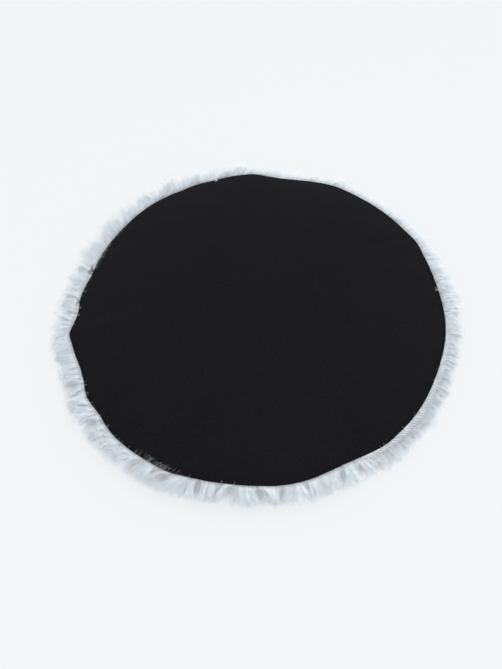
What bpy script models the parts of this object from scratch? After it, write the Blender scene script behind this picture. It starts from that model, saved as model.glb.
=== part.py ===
"""A flat round pet cushion, lying fur side down.

A black woven base panel faces up. A long-pile fur fabric makes the other face: its knitted backing is
sewn to the base panel round the edge, and its pile stands out as a fringe and is pressed flat beneath.
Loose fibre fills the space between the two cloths. Units are metres, +Z is up, and the floor is z = 0.
"""

from math import cos, exp, pi, radians, sin

import bmesh
import bpy

# Plan. Bearings are in degrees, anticlockwise from +X as seen from above.
SEAM_RADIUS = 0.2235  # mean radius of the sewn edge
OVAL = 0.0047  # how far the plan is drawn out along OVAL_BEARING and pulled in across it
OVAL_BEARING = 44
# The edge is not a true round: bearing, outward bulge and half width of the bulge in degrees.
EDGE_BULGES = (
    (12, -0.0020, 11),
    (80, -0.0045, 10),
    (98, 0.0035, 9),
    (128, 0.0040, 14),
    (166, -0.0030, 12),
    (203, -0.0040, 9),
    (229, 0.0025, 13),
    (262, -0.0020, 12),
    (294, -0.0028, 9),
    (320, 0.0035, 16),
)
SIDES = 60  # facets round every turned piece
RINGS = 8  # rings from the axis to the edge of every cloth face

# Heights
SEAM_HEIGHT = 0.026  # the sewn edge above the floor
CROWN = 0.024  # how far the base panel swells above the seam
SAG = 0.014  # how far the backing bulges below the seam; the pile under it is pressed to the rest

# Cloth, thread and the clearance between pieces that touch
PANEL_THICKNESS = 0.0008
BACKING_THICKNESS = 0.0012
SEAM_ALLOWANCE = 0.010
GAP = 0.0003
THREAD_RADIUS = 0.0003
THREAD_SIDES = 6
STITCH_INSET = 0.0045  # the stitch line, in from the edge
CLOSING_GAP = (144, 168)  # bearings of the ends of the stuffing gap

# Pile
PILE_REACH = 0.0265  # how far the fringe stands out past the seam
NAP_LEAN = 0.007  # more reach on the side that the nap leans to, and less on the other
NAP_BEARING = 190
# The fringe's section: share of the reach, height.
FRINGE = (
    (0.02, SEAM_HEIGHT + 0.0010),
    (0.20, SEAM_HEIGHT + 0.0030),
    (0.55, SEAM_HEIGHT - 0.0020),
    (0.85, SEAM_HEIGHT - 0.0110),
    (1.00, 0.0070),
    (0.97, 0.0020),
    (0.85, 0.0),
)


def edge_radius(bearing):
    """Radius of the sewn edge at a bearing."""
    radius = SEAM_RADIUS + OVAL * cos(radians(2 * (bearing - OVAL_BEARING)))
    for middle, bulge, width in EDGE_BULGES:
        away = (bearing - middle + 180) % 360 - 180
        radius += bulge * exp(-((away / width) ** 2))
    return radius


def pile_reach(bearing):
    """How far the fringe stands out past the sewn edge at a bearing."""
    return PILE_REACH + NAP_LEAN * cos(radians(bearing - NAP_BEARING))


def panel_height(share):
    """Height of the base panel's outer face at a share of the way out to the seam."""
    edge = SEAM_HEIGHT + GAP / 2 + PANEL_THICKNESS
    return edge + CROWN * (1 - share**2.6) ** 0.62


def backing_height(share):
    """Height of the backing's outer face, which lies flat in the middle and turns up to the seam."""
    edge = SEAM_HEIGHT - GAP / 2 - BACKING_THICKNESS
    return edge - SAG * (1 - share**6) ** 0.6


def ring_shares(count=RINGS):
    """Shares of the radius for the first rings from the axis, closer together near the edge."""
    return [sin(pi / 2 * i / RINGS) for i in range(1, count + 1)]


def fold_inset(thickness):
    """How far the inside of a cloth's turned edge lies in from its outside."""
    return 1.5 * thickness


def point_at(bearing, share, out, reach, height):
    """A point at a share of the edge's radius, then further out by out and by a share of the reach."""
    radius = share * edge_radius(bearing) + out + reach * pile_reach(bearing)
    return radius * cos(radians(bearing)), radius * sin(radians(bearing)), height


def make_material(name, colour, roughness):
    material = bpy.data.materials.new(name)
    material.use_nodes = True
    shader = material.node_tree.nodes["Principled BSDF"]
    shader.inputs["Base Color"].default_value = (*colour, 1.0)
    shader.inputs["Roughness"].default_value = roughness
    shader.inputs["Metallic"].default_value = 0.0
    return material


def add_object(name, bm, material):
    bmesh.ops.recalc_face_normals(bm, faces=bm.faces)
    mesh = bpy.data.meshes.new(name)
    bm.to_mesh(mesh)
    bm.free()
    mesh.materials.append(material)
    mesh.shade_smooth()
    mesh.set_sharp_from_angle(angle=radians(40))
    obj = bpy.data.objects.new(name, mesh)
    bpy.context.scene.collection.objects.link(obj)
    return obj


def turned(name, start, rings, end, material):
    """A section turned about the axis. It starts and ends on the axis, at two heights.

    Each of its rings is (share, out, reach, height), as point_at takes them.
    """
    bm = bmesh.new()
    bearings = [360 * i / SIDES for i in range(SIDES)]
    loops = [[bm.verts.new(point_at(b, *ring)) for b in bearings] for ring in rings]
    first = bm.verts.new((0, 0, start))
    last = bm.verts.new((0, 0, end))
    for i in range(SIDES):
        j = (i + 1) % SIDES
        bm.faces.new((first, loops[0][i], loops[0][j]))
        bm.faces.new((last, loops[-1][j], loops[-1][i]))
        for near, far in zip(loops, loops[1:]):
            bm.faces.new((near[i], far[i], far[j], near[j]))
    return add_object(name, bm, material)


def folded_cloth(name, face, thickness, side, material):
    """A cloth face whose edge is turned in as a flat seam allowance.

    face gives its outer height, and side is 1 where the cloth lies above the seam and -1 below it.
    """
    inset = fold_inset(thickness)
    seam = SEAM_HEIGHT + side * GAP / 2
    allowance_top = seam + side * thickness
    outside = [(s, 0, 0, face(s)) for s in ring_shares()]
    allowance = [
        (1, -inset / 2, 0, seam),
        (1, -SEAM_ALLOWANCE, 0, seam),
        (1, -SEAM_ALLOWANCE, 0, allowance_top),
        (1, -inset, 0, allowance_top),
    ]
    inside = [(s, -inset, 0, face(s) - side * thickness) for s in ring_shares(RINGS - 1)]
    rings = outside + allowance + inside[::-1]
    return turned(name, face(0), rings, face(0) - side * thickness, material)


def make_base_panel():
    cloth = make_material("black_cloth", (0.011, 0.011, 0.013), 0.85)
    return folded_cloth("base_panel", panel_height, PANEL_THICKNESS, 1, cloth)


def make_fur_backing():
    knit = make_material("backing_knit", (0.42, 0.47, 0.50), 0.9)
    return folded_cloth("fur_backing", backing_height, BACKING_THICKNESS, -1, knit)


def make_fur_pile():
    """The pile's outer shape: pressed flat beneath the backing, and a rounded fringe past the edge."""
    pile = make_material("fur_pile", (0.70, 0.76, 0.80), 0.7)
    beneath = [(s, GAP, 0, backing_height(s) - GAP) for s in ring_shares()]
    fringe = [(1, GAP, reach, height) for reach, height in FRINGE]
    return turned("fur_pile", backing_height(0) - GAP, beneath + fringe, 0, pile)


def make_fibre_fill():
    """The filling, clear of both cloths and of the seam allowances."""
    fibre = make_material("white_fibre", (0.80, 0.80, 0.79), 0.9)
    inner = ring_shares(RINGS - 2)
    top_drop = PANEL_THICKNESS + GAP
    bottom_rise = BACKING_THICKNESS + GAP
    top = [(s, -fold_inset(PANEL_THICKNESS), 0, panel_height(s) - top_drop) for s in inner]
    bottom = [(s, -fold_inset(BACKING_THICKNESS), 0, backing_height(s) + bottom_rise) for s in inner]
    rings = top + bottom[::-1]
    return turned("fibre_fill", panel_height(0) - top_drop, rings, backing_height(0) + bottom_rise, fibre)


def thread_line(name, height, start, end, material):
    """A line of thread along the stitch line between two bearings, with closed ends."""
    bm = bmesh.new()
    step = 360 / SIDES
    corners = [2 * pi * k / THREAD_SIDES for k in range(THREAD_SIDES)]
    loops = []
    for i in range(round((end - start) / step) + 1):
        loop = []
        for corner in corners:
            out = THREAD_RADIUS * cos(corner) - STITCH_INSET
            up = THREAD_RADIUS * sin(corner)
            loop.append(bm.verts.new(point_at(start + i * step, 1, out, 0, height + up)))
        loops.append(loop)
    for near, far in zip(loops, loops[1:]):
        for k in range(THREAD_SIDES):
            m = (k + 1) % THREAD_SIDES
            bm.faces.new((near[k], far[k], far[m], near[m]))
    bm.faces.new(loops[0])
    bm.faces.new(loops[-1][::-1])
    return add_object(name, bm, material)


def make_threads():
    """The two threads of the lockstitch, each on its own cloth's allowance, and the closing row."""
    thread = make_material("black_thread", (0.012, 0.012, 0.014), 0.6)
    clear = GAP / 2 + GAP + THREAD_RADIUS
    above = SEAM_HEIGHT + PANEL_THICKNESS + clear
    below = SEAM_HEIGHT - BACKING_THICKNESS - clear
    outside = panel_height(1 - STITCH_INSET / SEAM_RADIUS) + 2 * THREAD_RADIUS + GAP
    left, right = CLOSING_GAP
    return [
        thread_line("seam_needle_thread", above, right, left + 360, thread),
        thread_line("seam_bobbin_thread", below, right, left + 360, thread),
        thread_line("closing_thread", outside, left, right, thread),
    ]


def centre_over_origin(objects, widest):
    """Moves every object so that the widest one's box is centred over the origin."""
    for axis in (0, 1):
        places = [v.co[axis] for v in widest.data.vertices]
        middle = (min(places) + max(places)) / 2
        for obj in objects:
            obj.location[axis] = -middle


def main():
    for obj in list(bpy.data.objects):
        bpy.data.objects.remove(obj, do_unlink=True)
    pile = make_fur_pile()
    others = [make_base_panel(), make_fur_backing(), make_fibre_fill(), *make_threads()]
    centre_over_origin([pile, *others], pile)


main()
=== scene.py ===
"""The looks of a flat round pet cushion that lies fur side down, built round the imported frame.

The black base panel is cut flat, sewn to the frame's seam and stuffed by cloth simulation. The pile
grows from the backing by Geometry Nodes, hair by hair. Units are metres, +Z is up and the floor is
z = 0. Bearings go round the cushion from +X towards +Y, and tables give them in degrees.
"""

from math import cos, pi, radians, sin

import bpy
import numpy as np
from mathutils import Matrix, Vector
from mathutils.bvhtree import BVHTree


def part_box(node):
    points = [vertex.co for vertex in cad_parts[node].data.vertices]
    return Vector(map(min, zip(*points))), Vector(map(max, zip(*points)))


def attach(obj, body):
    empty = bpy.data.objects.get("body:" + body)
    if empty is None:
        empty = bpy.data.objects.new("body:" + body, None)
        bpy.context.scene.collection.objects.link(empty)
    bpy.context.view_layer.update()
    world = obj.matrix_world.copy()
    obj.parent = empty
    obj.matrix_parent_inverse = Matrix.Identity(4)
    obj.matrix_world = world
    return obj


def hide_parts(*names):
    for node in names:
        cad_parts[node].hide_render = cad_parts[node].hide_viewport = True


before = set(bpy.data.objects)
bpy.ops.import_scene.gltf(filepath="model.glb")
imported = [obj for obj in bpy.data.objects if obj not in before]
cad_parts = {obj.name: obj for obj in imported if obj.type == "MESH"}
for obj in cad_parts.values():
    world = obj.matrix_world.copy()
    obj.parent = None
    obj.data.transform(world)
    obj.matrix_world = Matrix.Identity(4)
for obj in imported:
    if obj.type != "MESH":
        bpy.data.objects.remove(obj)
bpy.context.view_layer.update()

# ---------------------------------------------------------------- sizes

# Places where the stuffing pushes the seam out, or where it is drawn in (less than 0): bearing,
# amount, half width in degrees
EDGE_PULLS = (
    (28, 0.0020, 4),
    (63, 0.0015, 5),
    (91, 0.0022, 4),
    (112, 0.0018, 4),
    (165, -0.0016, 4),
    (180, -0.0030, 3.5),
    (188, 0.0036, 2.4),
    (191.5, 0.0019, 5),
    (210, 0.0026, 4),
    (218, -0.0016, 4),
    (244, 0.0018, 4),
    (279, 0.0010, 10),
    (308, 0.0014, 5),
    (351, 0.0016, 11),
)
# Tucks in the panel beside the seam: bearing, depth, half width, length inward
TUCKS = (
    (31, 0.0026, 0.0050, 0.034),
    (37, -0.0018, 0.0060, 0.040),
    (229, 0.0014, 0.0040, 0.022),
    (237, -0.0013, 0.0045, 0.026),
    (243.5, 0.0034, 0.0038, 0.032),
    (250, -0.0012, 0.0050, 0.030),
    (256, 0.0012, 0.0040, 0.022),
    (303, 0.0036, 0.0042, 0.036),
    (309, -0.0016, 0.0060, 0.036),
)

# The panel's cut and its sewing
PANEL_RINGS = 46
BACKING_RINGS = 36
PANEL_EASE = 0.006  # how much wider the cloth is cut than the seam it is sewn into
CLOTH_FRAMES = 20
MOST_MOVE = 0.006  # the panel stays this near to the place its CAD solid gives
PANEL_CLOTH = 0.0006
BACKING_CLOTH = 0.0008
SEAM_ALLOWANCE = 0.010
SEAM_GAP = 0.0009  # half the distance between the two cloths where they are sewn together
FOLD_RADIUS = 0.0005
RIPPLE = 0.0004  # height of the small puckers that the machine stitch leaves
RIPPLE_REACH = 0.012  # how far inward the puckers go
TUCK_FADE = 0.004  # the tucks flatten this near to the seam, where the stitches hold them
WEAVE_PITCH = 0.0009
KNIT_PITCH = 0.0016

# The filling
FILLING_GAP = 0.0018  # least distance from the top of the panel down to the fibre
FILLING_EDGE = 0.0030  # half the height of the filling at its edge

# The pile
HAIR_LENGTH = 0.0325
LONGEST_REACH = 0.0335
SECTORS = 9
FRINGE_ROOTS = (1.0, 0.998, 0.994, 0.988, 0.98, 0.965, 0.945, 0.92)  # rows, as shares of the radius
UNDER_ROOTS = (0.92, 0.8, 0.65, 0.5, 0.35, 0.2, 0.05)
DENSE_FROM = 0.965  # share of the radius from which the fringe is dense
SPARSE = 0.22  # how crowded the hairs are further in
FRINGE_WIDTHS = (0.00034, 0.00010)  # thickness at root and tip of what is drawn as one hair
UNDER_WIDTHS = (0.0016, 0.0008)
ROLL_WIDTHS = (0.00034, 0.00016)
STANDING_WIDTHS = (0.00034, 0.00032)
STRAY_WIDTHS = (0.00028, 0.00012)

# How the pile has been brushed round the edge: bearing, swing towards a larger bearing and lift in
# degrees, length against the usual, how far its locks part, how uneven its hairs are, how crowded
BRUSHED = (
    (0, 4, 10, 1.92, 0.3, 0.58, 1.2),
    (10, 2, 14, 2.12, 0.3, 0.66, 1.2),
    (20, -6, 16, 1.68, 0.5, 0.75, 0.9),
    (50, -26, 26, 1.42, 0.9, 0.85, 0.38),
    (75, -38, 34, 1.42, 1.1, 0.88, 0.32),
    (92, -38, 38, 1.42, 1.2, 0.86, 0.38),
    (104, -32, 42, 1.46, 1.4, 0.84, 0.46),
    (120, -24, 44, 1.44, 1.2, 0.72, 0.8),
    (140, -16, 34, 1.34, 1.0, 0.68, 1),
    (160, -10, 28, 1.28, 0.9, 0.68, 1),
    (182, -6, 20, 1.20, 0.9, 0.64, 1),
    (200, -12, 20, 1.13, 0.9, 0.56, 1),
    (215, -18, 28, 1.06, 1.0, 0.42, 1),
    (228, -24, 44, 1.04, 1.2, 0.42, 1),
    (248, -10, 46, 1.06, 1.1, 0.42, 1),
    (270, 4, 40, 1.06, 1.1, 0.42, 1),
    (290, 10, 28, 1.18, 1.0, 0.42, 1),
    (305, 22, -4, 1.46, 0.6, 0.45, 1.1),
    (330, 14, -10, 1.68, 0.5, 0.50, 1.2),
    (348, 8, -2, 1.70, 0.4, 0.52, 1.2),
)
# Bearings where two locks bow apart, with painted shadow drawn between them
PARTINGS = (206, 213.4, 219.5, 223, 229, 236.5, 241.5, 245.5, 253, 259)
PARTINGS += (262.5, 269, 276, 282, 286, 293, 297.5)
PARTING_BOW = 0.0034  # how far the hairs on each side bow away
PARTING_WIDTH = 1.2  # how far round the edge a parting is felt, in degrees

# How much more crowded the hairs of the outermost rows are: bearing and share added
RIM_CROWDING = ((190, 0.2), (212, 1.1), (292, 1.1), (306, 0.3))

# The longer hairs that stand up in small tufts: bearing and length
STANDING = ((345, 0.0), (0, 0.018), (8, 0.026), (16, 0.022), (24, 0.015), (34, 0.011))
STANDING += ((60, 0.010), (92, 0.011), (99, 0.020), (124, 0.020), (150, 0.014), (172, 0.0))
STANDING_TRIES = 850
TUFT_STEP = 1.6  # degrees from one tuft to the next

# The roll of pile caught along the seam: bearing and radius. Its radius also sets the painted shade
# in the crease beside it
ROLL = ((295, 0.0), (302, 0.0024), (310, 0.0035), (338, 0.0034), (348, 0.0025))
ROLL += ((0, 0.0015), (24, 0.0))
ROLL_HAIRS = 4200
ROLL_TWIST = 0.0042  # length of one turn of the bundles in the roll
THICKEST_ROLL = 0.0035

# Hairs that lie over the seam on to the panel: bearing and spread in degrees, how many, the
# longest, and the dullest and the lightest shade
STRAYS = (
    (240, 7, 46, 0.0066, -3.8, -2.4),
    (228, 8, 10, 0.0018, -1.6, 0.4),
    (157, 6, 26, 0.0040, -1.6, 0.4),
    (146, 7, 16, 0.0030, -1.6, 0.4),
    (104.8, 0.25, 14, 0.0056, -0.2, 0.6),
    (176, 8, 14, 0.0030, -1.6, 0.4),
    (318, 18, 12, 0.0016, -1.6, 0.4),
    (256, 9, 8, 0.0018, -1.6, 0.4),
    (125, 8, 12, 0.0025, -1.6, 0.4),
    (210, 8, 8, 0.0020, -1.6, 0.4),
    (8.4, 0.4, 8, 0.0040, -0.6, 0.6),
)

# Thread
STITCH_PITCH = 0.003
STITCH_LENGTH = 0.0024
THREAD_WIDTH = 0.0006
STITCH_INSET = 0.0045
STITCH_LIFT = 0.0016  # how far the needle thread lies above the seam, and the bobbin's below
CLOSING_FROM, CLOSING_TO = 144, 168  # bearings of the gap that was closed by hand
CLOSING_STITCHES = 19
THREAD_TAILS = ((164, 6, 0.008), (176.5, 3, 0.006))  # bearing, number and length of the loose ends

# ---------------------------------------------------------------- places read from the frame


def node_points(name):
    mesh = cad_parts[name].data
    points = np.empty(len(mesh.vertices) * 3, np.float32)
    mesh.vertices.foreach_get("co", points)
    return points.reshape(-1, 3).astype(float)


def apart(bearing, centre):
    """Degrees from one bearing to another, the short way round."""
    return (bearing - centre + 180) % 360 - 180


def outline(points):
    """Largest radius of a node at each of its own bearings, as (bearings in degrees, radii)."""
    across = points[:, :2] - CENTRE
    radius = np.hypot(*across.T)
    bearing = np.degrees(np.arctan2(across[:, 1], across[:, 0])) % 360
    step = np.round(bearing[radius > 0.9 * radius.max()]).astype(int) % 360
    found = np.unique(step)
    around = np.abs(apart(bearing[:, None], found)) < 0.6
    return found, np.where(around, radius[:, None], 0).max(0)


def bumps(bearing, pulls):
    """Sum of soft bumps, each (bearing, height, half width), at bearings in degrees."""
    total = np.zeros_like(bearing, float)
    for centre, height, width in pulls:
        total += height * np.exp(-((apart(bearing, centre) / width) ** 2))
    return total


panel_points = node_points("base_panel")
CENTRE = panel_points[panel_points[:, 2].argmax(), :2]
SEAM_Z = (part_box("base_panel")[0].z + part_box("fur_backing")[1].z) / 2
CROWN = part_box("base_panel")[1].z - SEAM_Z
SAG = SEAM_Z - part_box("fur_backing")[0].z
FINE = np.arange(720) / 2
seam_corners, seam_radii = outline(panel_points)
wave = np.fft.irfft(np.fft.rfft(seam_radii), len(FINE)) * len(FINE) / len(seam_corners)
SEAM = wave + bumps(FINE, EDGE_PULLS)
pile_corners, pile_radii = outline(node_points("fur_pile"))
REACH = np.interp(FINE, pile_corners, pile_radii, period=360) - wave


def seam_radius(bearing):
    """Radius of the sewn edge at bearings in radians."""
    return np.interp(np.degrees(bearing) % 360, FINE, SEAM, period=360)


def place(bearing, radius, height):
    """Points at bearings in radians, radii from the cushion's centre and heights."""
    x = CENTRE[0] + radius * np.cos(bearing)
    y = CENTRE[1] + radius * np.sin(bearing)
    return np.stack(np.broadcast_arrays(x, y, height), -1)


def outward_at(bearing):
    """Level directions of length 1 away from the cushion's centre."""
    return place(bearing, 1.0, 0.0) - place(bearing, 0.0, 0.0)


def panel_height(share):
    return SEAM_Z + CROWN * (1 - share**2.6) ** 0.62


def backing_height(share):
    return SEAM_Z - SAG * (1 - share**6) ** 0.6


def by_bearing(table, bearing, column):
    """A column of a table whose first column is a bearing in degrees, blended round the circle."""
    table = np.array(table, float)
    return np.interp(np.degrees(bearing) % 360, table[:, 0] % 360, table[:, column], period=360)


# ---------------------------------------------------------------- node trees written as formulas


class Field:
    """An output in a node tree. Sums and products of it add the nodes that work them out."""

    def __init__(self, tree, socket):
        self.tree = tree
        self.socket = socket

    def is_vector(self):
        return self.socket.type in ("VECTOR", "RGBA")

    def work(self, operation, *others):
        kind = "ShaderNodeVectorMath" if self.is_vector() else "ShaderNodeMath"
        node = self.tree.nodes.new(kind)
        node.operation = operation
        plug(self.tree, node.inputs[0], self)
        for at, other in enumerate(others, 1):
            plug(self.tree, node.inputs["Scale" if operation == "SCALE" else at], other)
        single = not self.is_vector() or operation in ("DOT_PRODUCT", "LENGTH")
        return Field(self.tree, node.outputs["Value" if single else "Vector"])

    def __add__(self, other):
        return self.work("ADD", other)

    def __sub__(self, other):
        return self.work("SUBTRACT", other)

    def __mul__(self, other):
        other_is_vector = isinstance(other, Field) and other.is_vector()
        if other_is_vector and not self.is_vector():
            return other.work("SCALE", self)
        return self.work("SCALE" if self.is_vector() and not other_is_vector else "MULTIPLY", other)

    def __truediv__(self, other):
        return self.work("DIVIDE", other)

    def __pow__(self, power):
        return self.work("POWER", power)

    def __rsub__(self, other):
        return self * -1 + other

    def __rtruediv__(self, other):
        return self**-1 * other

    __radd__ = __add__
    __rmul__ = __mul__

    def part(self, axis):
        node = self.tree.nodes.new("ShaderNodeSeparateXYZ")
        plug(self.tree, node.inputs[0], self)
        return Field(self.tree, node.outputs[axis])


def plug(tree, socket, value):
    """Links a field or an output to an input, or sets the input's value."""
    if isinstance(value, Field):
        value = value.socket
    if isinstance(value, bpy.types.NodeSocket):
        tree.links.new(value, socket)
    else:
        socket.default_value = value


def add(tree, kind, inputs=(), out=0, **settings):
    """Adds a node and returns the output called or numbered out as a Field."""
    node = tree.nodes.new(kind)
    for name, value in settings.items():
        setattr(node, name, value)
    for name, value in dict(inputs).items():
        plug(tree, node.inputs[name], value)
    return Field(tree, node.outputs[out]) if len(node.outputs) else node


def attribute(tree, name, kind="FLOAT"):
    return add(tree, "GeometryNodeInputNamedAttribute", {"Name": name}, data_type=kind)


def stored(tree, geometry, name, value, kind="FLOAT"):
    """Keeps a field on the geometry's points under a name."""
    inputs = {"Geometry": geometry, "Name": name, "Value": value}
    return add(tree, "GeometryNodeStoreNamedAttribute", inputs, data_type=kind, domain="POINT")


def new_tree(name, inputs):
    """A Geometry Nodes tree with named inputs. Returns the tree and its inputs as Fields."""
    tree = bpy.data.node_groups.new(name, "GeometryNodeTree")
    kinds = {"Geometry": "Geometry", "Material": "Material"}
    kinds |= {"Seed": "Int", "Points": "Int", "Sides": "Int"}
    titles = ("Geometry",) + tuple(inputs)
    tree.interface.new_socket("Geometry", in_out="OUTPUT", socket_type="NodeSocketGeometry")
    for title in titles:
        kind = kinds.get(title, "Float")
        tree.interface.new_socket(title, in_out="INPUT", socket_type="NodeSocket" + kind)
    start = tree.nodes.new("NodeGroupInput")
    return tree, {title: Field(tree, start.outputs[title]) for title in titles}


def end_tree(tree, geometry, material):
    """Realises, sets the material and gives the result out."""
    geometry = add(tree, "GeometryNodeRealizeInstances", {"Geometry": geometry})
    geometry = add(tree, "GeometryNodeSetMaterial", {"Geometry": geometry, "Material": material})
    plug(tree, tree.nodes.new("NodeGroupOutput").inputs[0], geometry)
    return tree


# ---------------------------------------------------------------- meshes and pieces


def new_piece(name, points, faces=(), edges=(), material=None):
    mesh = bpy.data.meshes.new(name)
    points, edges, faces = ([tuple(row) for row in rows] for rows in (points, edges, faces))
    mesh.from_pydata(points, edges, faces)
    mesh.update()
    if material:
        mesh.materials.append(material)
    piece = bpy.data.objects.new(name, mesh)
    bpy.context.scene.collection.objects.link(piece)
    return piece


def points_of(piece):
    points = np.empty(len(piece.data.vertices) * 3, np.float32)
    piece.data.vertices.foreach_get("co", points)
    return points.reshape(-1, 3).astype(float)


def give(piece, name, values):
    """Stores numbers or vectors on the piece's points."""
    values = np.asarray(values, np.float32)
    vector = values.ndim == 2
    kind = "FLOAT_VECTOR" if vector else "FLOAT"
    layer = piece.data.attributes.new(name, kind, "POINT")
    layer.data.foreach_set("vector" if vector else "value", values.ravel())


def settled(piece, keep=()):
    """Turns the piece into the plain mesh that its modifiers make."""
    graph = bpy.context.evaluated_depsgraph_get()
    mesh = bpy.data.meshes.new_from_object(piece.evaluated_get(graph), depsgraph=graph)
    piece.modifiers.clear()
    piece.shape_key_clear()
    piece.data = mesh
    mesh.name = piece.name
    piece.vertex_groups.clear()
    kept = ("position", "material_index", "sharp_face") + tuple(keep)
    for layer in [a for a in mesh.attributes if not a.is_internal and a.domain != "CORNER"]:
        if layer.name not in kept:
            mesh.attributes.remove(layer)
    return piece


def grown(piece, tree, values, keep=("along", "shade")):
    """Runs a Geometry Nodes tree on the piece with these values of its named inputs."""
    modifier = piece.modifiers.new(tree.name, "NODES")
    modifier.node_group = tree
    for item in tree.interface.items_tree:
        if item.in_out == "INPUT" and item.name in values:
            modifier[item.identifier] = values[item.name]
    return settled(piece, keep)


def finished(piece, slot, *nodes):
    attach(piece, "root")
    if nodes:
        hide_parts(*nodes)
    return piece


def surface_of(piece):
    """The faces of the piece, ready to be searched for the nearest place."""
    corners = [Vector(point) for point in points_of(piece)]
    return BVHTree.FromPolygons(corners, [face.vertices[:] for face in piece.data.polygons])


def laid_on(surface, point, height):
    """The place at a height over the surface that is nearest to a point."""
    near, normal, _, _ = surface.find_nearest(Vector(point))
    return near + normal * height


def smooth(piece):
    piece.data.polygons.foreach_set("use_smooth", [True] * len(piece.data.polygons))
    piece.data.update()


# ---------------------------------------------------------------- materials


def new_material(name, **values):
    """A Principled material. A key names a socket, with _ for a space."""
    material = bpy.data.materials.new(name)
    material.use_nodes = True
    shader = material.node_tree.nodes["Principled BSDF"]
    for key, value in values.items():
        shader.inputs[key.replace("_", " ")].default_value = value
    return material, material.node_tree, shader


def object_position(tree):
    return add(tree, "ShaderNodeTexCoord", out="Object")


def noise(tree, position, scale, detail=2.0):
    inputs = {"Vector": position, "Scale": scale, "Detail": detail}
    return add(tree, "ShaderNodeTexNoise", inputs)


def tinted(tree, colour, amount):
    """A colour made darker or lighter by a field round 1."""
    inputs = {0: colour, 3: amount}
    return add(tree, "ShaderNodeVectorMath", inputs, operation="SCALE")


def bump(tree, shader, height, distance, strength=1.0):
    inputs = {"Height": height, "Distance": distance, "Strength": strength}
    plug(tree, shader.inputs["Normal"], add(tree, "ShaderNodeBump", inputs))


def threads_over(position, pitch):
    """Height of a plain weave from 0 to 1, whatever way the cloth faces."""
    across = position.part(0) / pitch
    along = position.part(1) / pitch
    turn = (across.work("FLOOR") + along.work("FLOOR")).work("MODULO", 2.0).work("ABSOLUTE")
    warp = (across * pi).work("SINE").work("ABSOLUTE")
    weft = (along * pi).work("SINE").work("ABSOLUTE")
    return turn * warp + (1 - turn) * weft


def cloth_material():
    material, tree, shader = new_material(
        "black_cloth",
        Specular_IOR_Level=0.09,
        Sheen_Weight=0.01,
        Sheen_Roughness=0.5,
        Sheen_Tint=(0.75, 0.78, 0.9, 1),
    )
    position = object_position(tree)
    weave = threads_over(position, WEAVE_PITCH)
    fleck = noise(tree, position, 480, 3)
    cloud = noise(tree, position, 14, 2)
    amount = fleck * 2.6 + cloud * 0.24 + weave * 0.2 - 0.5
    plug(tree, shader.inputs["Base Color"], tinted(tree, (0.0040, 0.0039, 0.0053), amount))
    plug(tree, shader.inputs["Roughness"], 0.78 + fleck * 0.2 - weave * 0.1)
    bump(tree, shader, weave * 0.7 + fleck * 0.8, 0.00018)
    return material


def pile_material():
    material, tree, shader = new_material("fur_pile", Specular_IOR_Level=0.25, Sheen_Weight=0.15)
    along = add(tree, "ShaderNodeAttribute", out="Fac", attribute_name="along")
    shade = add(tree, "ShaderNodeAttribute", out="Fac", attribute_name="shade")
    # The shade attribute holds each hair's own tone together with the painted shade from the pile
    # tree and the roll; hairs are a little darker towards the root
    amount = 0.81 + along**0.5 * 0.08 + shade * 0.17
    plug(tree, shader.inputs["Base Color"], tinted(tree, (0.90, 0.955, 1.0), amount))
    plug(tree, shader.inputs["Roughness"], 0.6 + shade * 0.1)
    return material


def knit_material():
    material, tree, shader = new_material("backing_knit", Specular_IOR_Level=0.2)
    loops = threads_over(object_position(tree), KNIT_PITCH)
    amount = 0.8 + loops * 0.2
    plug(tree, shader.inputs["Base Color"], tinted(tree, (0.72, 0.76, 0.79), amount))
    plug(tree, shader.inputs["Roughness"], 0.8 + loops * 0.12)
    bump(tree, shader, loops, 0.0003)
    return material


def fibre_material():
    material, tree, shader = new_material("white_fibre", Specular_IOR_Level=0.3)
    tangle = noise(tree, object_position(tree), 260, 5)
    plug(tree, shader.inputs["Base Color"], tinted(tree, (0.86, 0.87, 0.87), 0.8 + tangle * 0.3))
    plug(tree, shader.inputs["Roughness"], 0.7 + tangle * 0.2)
    bump(tree, shader, tangle, 0.0012)
    return material


def thread_material():
    material, tree, shader = new_material("black_thread", Specular_IOR_Level=0.3)
    ply = noise(tree, object_position(tree), 2600, 2)
    plug(tree, shader.inputs["Base Color"], tinted(tree, (0.009, 0.009, 0.010), 0.7 + ply * 0.6))
    plug(tree, shader.inputs["Roughness"], 0.5 + ply * 0.2)
    bump(tree, shader, ply, 0.0001)
    return material


# ---------------------------------------------------------------- the two cloths


def disc_of_rings(count):
    """A disc of even triangles, where ring k has 6 k points.

    Gives each point's share of the radius and its bearing, the numbers of the points on the rim,
    and the faces.
    """
    rings = range(1, count + 1)
    share = np.concatenate([[0.0]] + [np.full(6 * k, k / count) for k in rings])
    bearing = np.concatenate([[0.0]] + [np.arange(6 * k) * 2 * pi / (6 * k) for k in rings])
    faces = []
    for ring in rings:
        outer = 1 + 3 * ring * (ring - 1)
        inner = 1 + 3 * (ring - 1) * (ring - 2) if ring > 1 else 0
        around, within = 6 * ring, max(1, 6 * (ring - 1))
        for i in range(around):
            side, at = divmod(i, ring)
            a, b = outer + i, outer + (i + 1) % around
            c = inner + (side * (ring - 1) + at) % within
            faces.append((a, b, c))
            if at < ring - 1:
                faces.append((b, inner + (side * (ring - 1) + at + 1) % within, c))
    return share, bearing, np.flatnonzero(share > 1 - 1e-6), faces


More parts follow.
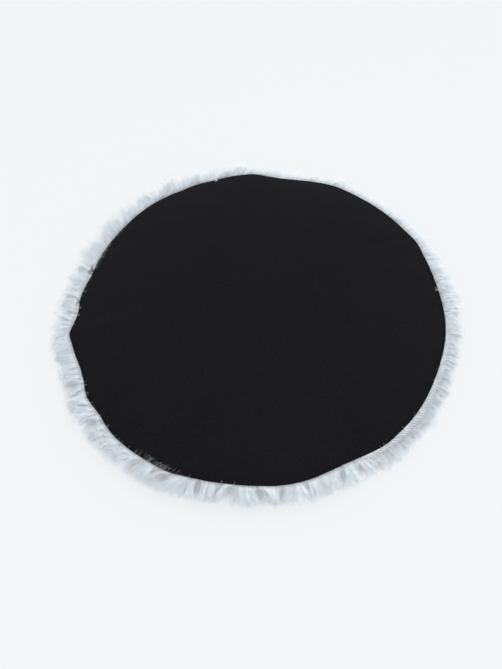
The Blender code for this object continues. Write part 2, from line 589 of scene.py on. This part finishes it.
def sew_and_stuff(piece, cut, rim):
    """Blows the panel up from its flat cut, with its rim held in the seam."""
    piece.shape_key_add(name="sewn")
    flat = piece.shape_key_add(name="cut")
    flat.data.foreach_set("co", cut.astype(np.float32).ravel())
    piece.vertex_groups.new(name="seam").add([int(i) for i in rim], 1.0, "REPLACE")
    cloth = piece.modifiers.new("cloth", "CLOTH")
    settings = cloth.settings
    settings.rest_shape_key = flat
    settings.vertex_group_mass = "seam"
    settings.quality = 8
    settings.mass = 0.2
    settings.tension_stiffness = 40
    settings.compression_stiffness = 40
    settings.shear_stiffness = 10
    settings.bending_stiffness = 0.6
    settings.use_pressure = True
    settings.uniform_pressure_force = 4
    settings.effector_weights.gravity = 0
    cloth.collision_settings.use_collision = False
    cloth.point_cache.frame_start = 1
    cloth.point_cache.frame_end = CLOTH_FRAMES
    for step in range(1, CLOTH_FRAMES + 1):
        bpy.context.scene.frame_set(step)
    settled(piece)
    bpy.context.scene.frame_set(1)


def tucked(points, share, bearing):
    """Presses the tucks beside the seam and the small puckers of the stitch into the panel."""
    degrees = np.degrees(bearing)
    radius = seam_radius(bearing)
    inward = (1 - share) * radius
    outward = outward_at(bearing)
    drop = np.zeros(len(points))
    for centre, depth, width, length in TUCKS:
        away = apart(degrees, centre) * pi / 180 * radius * (0.4 + 0.6 * share)
        spread = width * (0.5 + 0.9 * inward / length)
        drop += depth * np.exp(-((away / spread) ** 2) - (inward / length) ** 2)
    drop *= 1 - 0.85 * np.exp(-((inward / TUCK_FADE) ** 2))
    ripple = np.sin(bearing * 97) + 0.8 * np.sin(bearing * 61 + 2) + 0.7 * np.sin(bearing * 139 + 4)
    drop += RIPPLE * ripple * np.exp(-((inward / RIPPLE_REACH) ** 2))
    points[:, 2] -= drop
    return points - outward * (drop * 0.45 * np.exp(-((inward / 0.008) ** 2)))[:, None]


def turned_in(points, faces, rim, bearing, sign):
    """Adds the folded edge and the seam allowance to a cloth.

    sign is +1 where the cloth lies over the seam, and -1 where it lies under it.
    """
    count = len(rim)
    outward = outward_at(bearing[rim])
    base = points[rim]
    # rows of the fold in fold radii, then rows of the allowance in twentieths of its width
    rows = [(0.8, 0.35), (1.0, 0.0), (0.8, -0.35), (0.0, -0.7)]
    rows += [(-4.0, -0.8), (-12.0, -0.8), (-20.0, -0.8)]
    ringed = [points]
    for out, up in rows:
        row = base + outward * (out * (FOLD_RADIUS if out >= 0 else SEAM_ALLOWANCE / 20))
        row[:, 2] = SEAM_Z + sign * (SEAM_GAP + up * FOLD_RADIUS)
        ringed.append(row)
    faces = list(faces)
    upper = list(rim)
    start = len(points)
    for _ in rows:
        lower = [start + i for i in range(count)]
        for i in range(count):
            k = (i + 1) % count
            faces.append((upper[k], upper[i], lower[i], lower[k]))
        upper = lower
        start += count
    return np.concatenate(ringed), faces


def thickened(piece, thickness, levels):
    if levels:
        subdivision = piece.modifiers.new("subdivision", "SUBSURF")
        subdivision.levels = subdivision.render_levels = levels
    solid = piece.modifiers.new("thickness", "SOLIDIFY")
    solid.thickness = thickness
    solid.offset = -1
    solid.use_even_offset = False
    settled(piece)
    smooth(piece)
    return piece


def make_base_cloth(material):
    """The panel, and the points of its stuffed dome."""
    share, bearing, rim, faces = disc_of_rings(PANEL_RINGS)
    radius = share * seam_radius(bearing)
    start = place(bearing, radius, panel_height(share))
    dome = start.copy()
    trial = new_piece("trial_panel", start, faces)
    cut = place(bearing, radius * (1 + PANEL_EASE), np.full(len(share), SEAM_Z))
    sew_and_stuff(trial, cut, rim)
    dome = points_of(trial)
    bpy.data.objects.remove(trial)
    moved = dome - start
    far = np.linalg.norm(moved, axis=1, keepdims=True)
    dome = start + moved * np.minimum(1, MOST_MOVE / np.maximum(far, 1e-9))
    dome = tucked(dome, share, bearing)
    points, faces = turned_in(dome, faces, rim, bearing, 1)
    piece = new_piece("base_cloth", points, faces, material=material)
    return thickened(piece, PANEL_CLOTH, 1), dome


def make_backing(material):
    share, bearing, rim, faces = disc_of_rings(BACKING_RINGS)
    height = backing_height(share) + 0.0006 * np.sin(bearing * 9 + share * 14) * (1 - share)
    points = place(bearing, share * seam_radius(bearing), height)
    points, faces = turned_in(points, faces, rim, bearing, -1)
    piece = new_piece("fur_backing_knit", points, [f[::-1] for f in faces], material=material)
    return thickened(piece, BACKING_CLOTH, 0)


def make_filling(material, dome, surface):
    """Loose fibre that fills the cover, a little inside both cloths."""
    share, bearing, rim, faces = disc_of_rings(PANEL_RINGS)
    lumps = 0.0009 * np.sin(dome[:, 0] * 120 + 1.3) * np.sin(dome[:, 1] * 95) * (1 - share)
    middle = place(bearing, 0.0, 0.0)
    inside = np.where(share > 0, 0.975, 1)[:, None]
    upper = middle + (dome - middle) * np.array([1, 1, 0]) * inside
    upper[:, 2] = dome[:, 2] - 0.0016 - 0.0006 * share + lumps
    lower = upper.copy()
    lower[:, 2] = backing_height(share * 0.985) + BACKING_CLOTH + 0.0012 + lumps
    upper[rim, 2] = SEAM_Z + FILLING_EDGE
    lower[rim, 2] = SEAM_Z - FILLING_EDGE
    for point in upper:
        over = surface.ray_cast(Vector((point[0], point[1], 0.2)), Vector((0, 0, -1)))[0]
        point[2] = min(point[2], over.z - FILLING_GAP)
    count = len(share)
    sides = [(rim[k - 1], rim[k - 1] + count, rim[k] + count, rim[k]) for k in range(len(rim))]
    below = [tuple(i + count for i in f[::-1]) for f in faces]
    points = np.concatenate([upper, lower])
    piece = new_piece("fibre_filling", points, list(faces) + below + sides, material=material)
    smooth(piece)
    return piece


# ---------------------------------------------------------------- thread


def stitch_tree():
    """Short stitches laid end to end along a line."""
    names = ("Pitch", "Stitch length", "Thread width", "Sides", "Material")
    tree, given = new_tree("stitches", names)
    line = add(tree, "GeometryNodeMeshToCurve", {"Mesh": given["Geometry"]})
    inputs = {"Curve": line, "Length": given["Pitch"]}
    spaced = add(tree, "GeometryNodeResampleCurve", inputs, mode="LENGTH")
    inputs = {"Segments": given["Sides"], "Rings": 4, "Radius": 0.5}
    bead = add(tree, "GeometryNodeMeshUVSphere", inputs)
    tangent = add(tree, "GeometryNodeInputTangent")
    turn = add(tree, "FunctionNodeAlignRotationToVector", {"Vector": tangent}, axis="X")
    parts = {0: given["Stitch length"], 1: given["Thread width"], 2: given["Thread width"]}
    size = add(tree, "ShaderNodeCombineXYZ", parts)
    inputs = {"Points": spaced, "Instance": bead, "Rotation": turn, "Scale": size}
    laid = add(tree, "GeometryNodeInstanceOnPoints", inputs)
    laid = add(tree, "GeometryNodeRealizeInstances", {"Geometry": laid})
    laid = add(tree, "GeometryNodeSetShadeSmooth", {"Geometry": laid})
    return end_tree(tree, laid, given["Material"])


def line_tree():
    """Round threads or hairs along lines, thinner towards the tip."""
    names = ("Root width", "Tip width", "Sides", "Material")
    tree, given = new_tree("threads_on_lines", names)
    line = add(tree, "GeometryNodeMeshToCurve", {"Mesh": given["Geometry"]})
    along = attribute(tree, "along")
    width = given["Root width"] + (given["Tip width"] - given["Root width"]) * along
    return end_tree(tree, tube(tree, line, width, given["Sides"]), given["Material"])


def tube(tree, line, width, sides):
    ring = add(tree, "GeometryNodeCurvePrimitiveCircle", {"Resolution": sides, "Radius": 0.5})
    inputs = {"Curve": line, "Profile Curve": ring, "Scale": width, "Fill Caps": True}
    return add(tree, "GeometryNodeCurveToMesh", inputs)


def make_seam_thread(name, tree, material, lift, node):
    bearing = np.radians(np.arange(0, 360, 0.75))
    points = place(bearing, seam_radius(bearing) - STITCH_INSET, SEAM_Z + lift)
    count = len(bearing)
    edges = [(i, (i + 1) % count) for i in range(count)]
    values = {"Pitch": STITCH_PITCH, "Stitch length": STITCH_LENGTH, "Thread width": THREAD_WIDTH}
    piece = new_piece(name, points, edges=edges)
    grown(piece, tree, values | {"Sides": 6, "Material": material})
    return finished(piece, "black_thread", node)


def lines_piece(name, lines, tree, material, widths, sides=3, shade=None):
    """Hairs or threads along given lines, each an array of points. widths are at root and tip."""
    points = np.concatenate(lines)
    edges, along, tone, start = [], [], [], 0
    for number, line in enumerate(lines):
        edges += [(start + i, start + i + 1) for i in range(len(line) - 1)]
        along += list(np.linspace(0, 1, len(line)))
        tone += [0.5 if shade is None else shade[number]] * len(line)
        start += len(line)
    piece = new_piece(name, points, edges=edges)
    give(piece, "along", along)
    give(piece, "shade", tone)
    values = {"Root width": widths[0], "Tip width": widths[1], "Sides": sides, "Material": material}
    return grown(piece, tree, values)


def make_closing_thread(tree, material, surface):
    """Hand stitches over the seam where the cover was closed, and the loose ends beside them."""
    chance = np.random.default_rng(3)
    ring = 0.22  # radius of the circle that the loose ends swing on
    lines = []
    for centre, number, length in THREAD_TAILS:
        for _ in range(number):
            bearing = radians(centre + chance.normal(0, 0.5))
            steps = np.linspace(0, 1, 8)
            radius = seam_radius(bearing) - 0.0015 + length * chance.uniform(0.6, 1) * steps
            curl = chance.normal(0, 0.45) * length / ring
            height = SEAM_Z + 0.0022 + 0.002 * np.sin(steps * 2.2) + 0.0006 * chance.normal()
            lines.append(place(bearing + curl * steps**1.6, radius, height))
    gap = CLOSING_TO - CLOSING_FROM
    for number in range(CLOSING_STITCHES):
        bearing = radians(CLOSING_FROM + gap * (number + 0.5) / CLOSING_STITCHES)
        slant = 0.0014 / seam_radius(bearing)
        steps = np.linspace(0, 1, 9)
        radius = seam_radius(bearing) - 0.0034 + 0.0049 * np.sin(steps * pi) ** 0.7
        height = SEAM_Z + 0.0030 * np.cos(steps * pi)
        line = place(bearing + slant * (2 * steps - 1), radius, height)
        for at in range(4):
            line[at] = laid_on(surface, line[at], 0.0002)
        lines.append(line)
    widths = (THREAD_WIDTH, THREAD_WIDTH)
    piece = lines_piece("closing_stitches", lines, tree, material, widths, 6)
    smooth(piece)
    return finished(piece, "black_thread", "closing_thread")


# ---------------------------------------------------------------- the pile


def pile_tree():
    """Hairs on a cloth. Each follows its own bend, and leans to its wisp and its lock."""
    names = ("Hairs per square metre", "Hair length", "Root width", "Tip width", "Lock size")
    names += ("Lock pull", "Wisp size", "Wisp pull", "Waver", "Points", "Sides", "Seed", "Material")
    tree, given = new_tree("pile", names)
    density = given["Hairs per square metre"] * attribute(tree, "crowd")
    inputs = {"Mesh": given["Geometry"], "Density": density, "Seed": given["Seed"]}
    roots = add(tree, "GeometryNodeDistributePointsOnFaces", inputs)
    position = add(tree, "GeometryNodeInputPosition")
    inputs = {"Seed": given["Seed"] + 7}
    luck = add(tree, "FunctionNodeRandomValue", inputs, data_type="FLOAT_VECTOR")
    roots = stored(tree, roots, "root", position, "FLOAT_VECTOR")
    roots = stored(tree, roots, "luck", luck, "FLOAT_VECTOR")
    for group in ("Lock", "Wisp"):
        size = given[group + " size"]
        cells = {"Vector": position * (1 / size), "Scale": 1.0}
        nearest = add(tree, "ShaderNodeTexVoronoi", cells, out="Position") * size
        if group == "Lock":
            cells = {"Vector": position, "Scale": 1 / size, "Detail": 1.0}
            tone = add(tree, "ShaderNodeTexNoise", cells, out="Color")
            tone = (tone - (0.5, 0.5, 0.5)) * 2.3 + (0.5, 0.5, 0.5)
        else:
            tone = add(tree, "ShaderNodeTexVoronoi", cells, out="Color")
        roots = stored(tree, roots, group + " way", nearest - position, "FLOAT_VECTOR")
        roots = stored(tree, roots, group + " tone", tone, "FLOAT_VECTOR")
    line = add(tree, "GeometryNodeCurvePrimitiveLine")
    line = add(tree, "GeometryNodeResampleCurve", {"Curve": line, "Count": given["Points"]})
    line = stored(tree, line, "along", add(tree, "GeometryNodeSplineParameter"))
    hairs = add(tree, "GeometryNodeInstanceOnPoints", {"Points": roots, "Instance": line})
    hairs = add(tree, "GeometryNodeRealizeInstances", {"Geometry": hairs})

    along = attribute(tree, "along")
    root, luck, lock, wisp = (
        attribute(tree, name, "FLOAT_VECTOR") for name in ("root", "luck", "Lock tone", "Wisp tone")
    )
    shorter = lock.part(0) * 0.25 + wisp.part(0) * 0.25 + luck.part(0) * 0.5
    length = given["Hair length"] * attribute(tree, "long")
    length = length * (1.0 - attribute(tree, "uneven") * shorter)
    parting = attribute(tree, "parting")
    rise = attribute(tree, "rise") + (lock.part(1) - 0.5) * 0.4 * parting
    rise = rise + wisp.part(1) * 0.24 + luck.part(1) * 0.2 - 0.22
    droop = attribute(tree, "droop") * (0.75 + lock.part(2) * 0.5)
    swing = attribute(tree, "swing") + luck.part(2) * 0.2 - 0.1
    swing = swing + (lock.part(2) * 1.0 + wisp.part(2) * 0.3 - 0.65) * parting
    bend = rise - droop * along
    forward = (rise.work("SINE") - bend.work("SINE")) / droop * length
    upward = (bend.work("COSINE") - rise.work("COSINE")) / droop * length
    turn = swing * (0.55 + along * 0.45)
    way = attribute(tree, "out", "FLOAT_VECTOR") * turn.work("COSINE")
    way = way + attribute(tree, "side", "FLOAT_VECTOR") * turn.work("SINE")
    waver = (along * 7 + luck.part(2) * 6.3).work("SINE") * along * given["Waver"]
    bow = (along * 3.0).work("SINE") * attribute(tree, "bow")
    place_now = root + way * forward + attribute(tree, "side", "FLOAT_VECTOR") * (waver + bow)
    place_now = place_now + add(tree, "ShaderNodeCombineXYZ", {2: upward})
    lock_way = attribute(tree, "Lock way", "FLOAT_VECTOR")
    wisp_way = attribute(tree, "Wisp way", "FLOAT_VECTOR")
    place_now = place_now + lock_way * (along**1.5 * given["Lock pull"] * parting)
    place_now = place_now + wisp_way * ((1 - (1 - along) ** 2) * given["Wisp pull"])
    lowest = 0.0004 + root.part(2) * (0.05 + luck.part(0) * 0.22)
    height = place_now.part(2).work("SMOOTH_MAX", lowest, 0.004)
    held = {0: place_now.part(0), 1: place_now.part(1), 2: height}
    inputs = {"Geometry": hairs, "Position": add(tree, "ShaderNodeCombineXYZ", held)}
    hairs = add(tree, "GeometryNodeSetPosition", inputs)
    width = given["Root width"] + (given["Tip width"] - given["Root width"]) * along**1.4
    # Each hair's own tone comes from its wisp and its luck, less painted shade on the hairs rooted
    # low under the seam, darkest at the root
    shade = wisp.part(1) * 0.6 + luck.part(1) * 0.7 - attribute(tree, "painted_depth_shade") * (1 - along) - 0.15
    # Painted shadow in the partings: the hairs there are drawn darker along their middle
    shade = shade - attribute(tree, "gap") * (along**1.5 * pi).work("SINE") ** 2
    # Painted shade in the crease beside the roll, darkest at the root
    shade = shade - attribute(tree, "painted_crease_shade") * (1 - along) ** 1.5
    hairs = stored(tree, hairs, "shade", shade)
    return end_tree(tree, tube(tree, hairs, width, given["Sides"]), given["Material"])


def root_band(name, first, last, shares):
    """The strip of the backing that hairs grow from, with how they grow at each place.

    It lies between two bearings in degrees. shares are its rows, as shares of the radius.
    """
    degrees = np.linspace(first, last, int((last - first) / 0.4) + 1)
    share, degrees = np.meshgrid(np.array(shares), degrees)
    share, bearing = share.ravel(), np.radians(degrees.ravel())
    wide = len(shares)
    height = backing_height(share) + 0.0013 * np.clip((share - 0.985) / 0.01, 0, 1)
    points = place(bearing, share * seam_radius(bearing), height)
    faces = [
        (r * wide + c, r * wide + c + 1, (r + 1) * wide + c + 1, (r + 1) * wide + c)
        for r in range(len(degrees) - 1)
        for c in range(wide - 1)
    ]
    piece = new_piece(name, points, faces)
    under = np.clip((SEAM_Z - points[:, 2]) / 0.008, 0, 1)
    give(piece, "out", outward_at(bearing))
    give(piece, "side", outward_at(bearing + pi / 2))
    give(piece, "rise", np.radians(by_bearing(BRUSHED, bearing, 2)) * (1 - under) - 0.55 * under)
    give(piece, "droop", 1.25 - 0.9 * under)
    parting = by_bearing(BRUSHED, bearing, 4)
    swirl = 0.16 * parting * (np.sin(23 * bearing + 1) + 0.8 * np.sin(41 * bearing + 2))
    give(piece, "swing", (np.radians(by_bearing(BRUSHED, bearing, 1)) + swirl) * (1 - 0.5 * under))
    bow, gap = np.zeros(len(points)), np.zeros(len(points))
    for centre in PARTINGS:
        away = apart(np.degrees(bearing), centre)
        near = np.exp(-((away / PARTING_WIDTH) ** 2))
        bow += np.sign(away) * near
        gap += near**5
    give(piece, "bow", PARTING_BOW * bow * (under < 0.7))
    reach = np.interp(np.degrees(bearing) % 360, FINE, REACH, period=360) / LONGEST_REACH
    give(piece, "long", reach * by_bearing(BRUSHED, bearing, 3))
    give(piece, "parting", parting)
    give(piece, "uneven", by_bearing(BRUSHED, bearing, 5))
    rim = by_bearing(RIM_CROWDING, bearing, 1) * (share > 0.99)
    crowd = by_bearing(BRUSHED, bearing, 6) * np.where(share > DENSE_FROM, 1.0 + rim, SPARSE)
    give(piece, "crowd", crowd)
    # Painted shade: hairs rooted low under the seam are drawn darker near the root
    give(piece, "painted_depth_shade", 1.4 * under)
    # Painted shadow in the partings, strongest at each parting's bearing
    give(piece, "gap", 1.7 * gap)
    # Painted shade in the crease beside the roll, as strong as the roll is thick
    give(piece, "painted_crease_shade", 2.2 * by_bearing(ROLL, bearing, 1) / THICKEST_ROLL)
    return piece


def make_pile(tree, material):
    """The fringe in sectors, and the crushed pile beneath."""
    values = {
        "Hairs per square metre": 3.0e6,
        "Hair length": HAIR_LENGTH,
        "Root width": FRINGE_WIDTHS[0],
        "Tip width": FRINGE_WIDTHS[1],
        "Lock size": 0.011,
        "Lock pull": 0.22,
        "Wisp size": 0.0017,
        "Wisp pull": 0.85,
        "Waver": 0.0007,
        "Points": 5,
        "Sides": 3,
        "Material": material,
    }
    pieces = []
    for sector in range(SECTORS):
        ends = (360 * sector / SECTORS, 360 * (sector + 1) / SECTORS)
        piece = root_band(f"pile_fringe_{sector + 1}", *ends, FRINGE_ROOTS)
        pieces.append(grown(piece, tree, values | {"Seed": sector + 1}))
    values |= {
        "Hairs per square metre": 0.26e6,
        "Root width": UNDER_WIDTHS[0],
        "Tip width": UNDER_WIDTHS[1],
        "Wisp size": 0.005,
        "Points": 4,
        "Seed": 40,
    }
    under = root_band("pile_crushed_underneath", 0, 360, UNDER_ROOTS)
    pieces.append(grown(under, tree, values))
    return pieces


def make_roll(tree, material):
    """A rope of pile that is caught along the seam and wound round itself."""
    chance = np.random.default_rng(5)
    ring = 0.227  # radius of the line that the roll follows
    advance = 0.0036 / ring  # how far round the seam a hair goes for each radian of its turn
    steps = np.linspace(0, 1, 6)
    lines, shade = [], []
    for _ in range(ROLL_HAIRS):
        at = radians(chance.uniform(294, 386))
        radius = by_bearing(ROLL, at, 1)
        if radius < 0.0004:
            continue
        start = chance.uniform(-1.0, 1.2)
        bundle = abs(sin((at - start * advance) * ring / ROLL_TWIST * pi))
        turn = pi * 0.95 - start - steps * 1.5
        own = radius * (0.45 + 0.62 * bundle**0.7) * (1 + chance.normal(0, 0.05))
        own = own * (1 + 0.3 * (steps - 0.4) ** 2)
        bearing = at + steps * 1.5 * advance
        out = seam_radius(bearing) + radius * 1.05 + own * np.cos(turn)
        lines.append(place(bearing, out, SEAM_Z - 0.0012 + radius * 0.3 + own * np.sin(turn)))
        # Painted shade in the grooves between the wound bundles: the hairs there are drawn darker
        shade.append(-2.3 + 2.6 * bundle)
    return lines_piece("pile_roll_at_seam", lines, tree, material, ROLL_WIDTHS, shade=shade)


def make_standing_hairs(tree, material):
    """Longer hairs that stand up in small tufts above the rest of the fringe."""
    chance = np.random.default_rng(21)
    ring = 0.225  # radius of the circle that they stand on
    steps = np.linspace(0, 1, 5)
    lines, shade = [], []
    for _ in range(STANDING_TRIES):
        tuft = round(chance.uniform(-14, 172) / TUFT_STEP) * TUFT_STEP
        bearing = radians(tuft + chance.normal(0, 0.35))
        length = by_bearing(STANDING, bearing, 1) * chance.uniform(0.45, 1.0)
        if length < 0.002:
            continue
        swing = 1.1 * radians(by_bearing(BRUSHED, bearing, 1)) + 0.3 * sin(tuft * 5)
        swing += chance.normal(0, 0.14)
        rise = 0.75 + chance.normal(0, 0.18)
        flat = length * cos(rise) * steps
        up = length * (sin(rise) * steps - 0.25 * steps**2)
        radius = seam_radius(bearing) + 0.0002 + flat * cos(swing)
        lines.append(place(bearing + flat * sin(swing) / ring, radius, SEAM_Z + 0.0006 + up))
        shade.append(chance.uniform(-1.1, 0.3))
    return lines_piece("standing_hairs", lines, tree, material, STANDING_WIDTHS, shade=shade)


def make_strays(tree, material, surface):
    """Hairs that lie over the seam on to the panel."""
    chance = np.random.default_rng(11)
    ring = 0.224  # radius of the circle that they start from
    steps = np.linspace(0, 1, 6)
    lines, shade = [], []
    for centre, spread, number, longest, dull, light in STRAYS:
        for _ in range(number):
            bearing = radians(centre + chance.normal(0, spread * 0.5))
            reach = longest * chance.uniform(0.4, 1.0)
            radius = seam_radius(bearing) + 0.0016 - (reach + 0.0016) * steps
            swing = chance.normal(0.5, 0.5) * reach / ring
            line = place(bearing + swing * steps**1.5, radius, SEAM_Z + 0.0008 + 0.004 * steps)
            for at in range(2, len(line)):
                line[at] = laid_on(surface, line[at], 0.0002 + 0.0005 * chance.random())
            lines.append(line)
            shade.append(chance.uniform(dull, light))
    return lines_piece("stray_pile_on_panel", lines, tree, material, STRAY_WIDTHS, shade=shade)


# ---------------------------------------------------------------- camera, light, floor


def make_stage():
    scene = bpy.context.scene
    camera = bpy.data.objects.new("camera", bpy.data.cameras.new("camera"))
    scene.collection.objects.link(camera)
    camera.data.lens = 41.3
    camera.data.sensor_width = 36
    camera.location = (CENTRE[0] - 0.0105, CENTRE[1] - 0.5173, SEAM_Z + 0.7766)
    camera.rotation_euler = (radians(32), 0, 0)
    scene.camera = camera
    scene.view_settings.view_transform = "Standard"

    corners = [(-4, -4, 0), (4, -4, 0), (4, 4, 0), (-4, 4, 0)]
    material, _, _ = new_material(
        "pale_floor",
        Base_Color=(0.12, 0.124, 0.125, 1),
        Roughness=0.9,
        Specular_IOR_Level=0.1,
        Emission_Color=(0.98, 1.0, 1.01, 1),
        Emission_Strength=0.75,
    )
    new_piece("floor", corners, [(0, 1, 2, 3)], material=material)

    world = bpy.data.worlds.new("studio")
    world.use_nodes = True
    background = world.node_tree.nodes["Background"]
    background.inputs["Color"].default_value = (1, 1, 1, 1)
    background.inputs["Strength"].default_value = 0.85
    scene.world = world

    lamp = bpy.data.lights.new("softbox", "AREA")
    lamp.shape = "DISK"
    lamp.size = 2.4
    lamp.energy = 40
    light = bpy.data.objects.new("softbox", lamp)
    scene.collection.objects.link(light)
    light.location = (0.3, -0.4, 2.3)
    light.rotation_euler = (-light.location).to_track_quat("-Z", "Y").to_euler()


# ---------------------------------------------------------------- the whole


def main():
    make_stage()
    makers = (cloth_material, pile_material, knit_material, fibre_material, thread_material)
    cloth, pile, knit, fibre, thread = (make() for make in makers)
    stitches, lines, hairs = stitch_tree(), line_tree(), pile_tree()

    panel, dome = make_base_cloth(cloth)
    surface = surface_of(panel)
    backing = make_backing(knit)
    filling = make_filling(fibre, dome, surface)
    finished(panel, "black_cloth", "base_panel")
    finished(backing, "backing_knit", "fur_backing")
    finished(filling, "white_fibre", "fibre_fill")

    make_seam_thread("seam_needle_stitches", stitches, thread, STITCH_LIFT, "seam_needle_thread")
    make_seam_thread("seam_bobbin_stitches", stitches, thread, -STITCH_LIFT, "seam_bobbin_thread")
    make_closing_thread(lines, thread, surface)

    coat = make_pile(hairs, pile)
    coat.append(make_roll(lines, pile))
    coat.append(make_standing_hairs(lines, pile))
    coat.append(make_strays(lines, pile, surface))
    for piece in coat:
        smooth(piece)
        finished(piece, "fur_pile")
    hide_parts("fur_pile")


main()
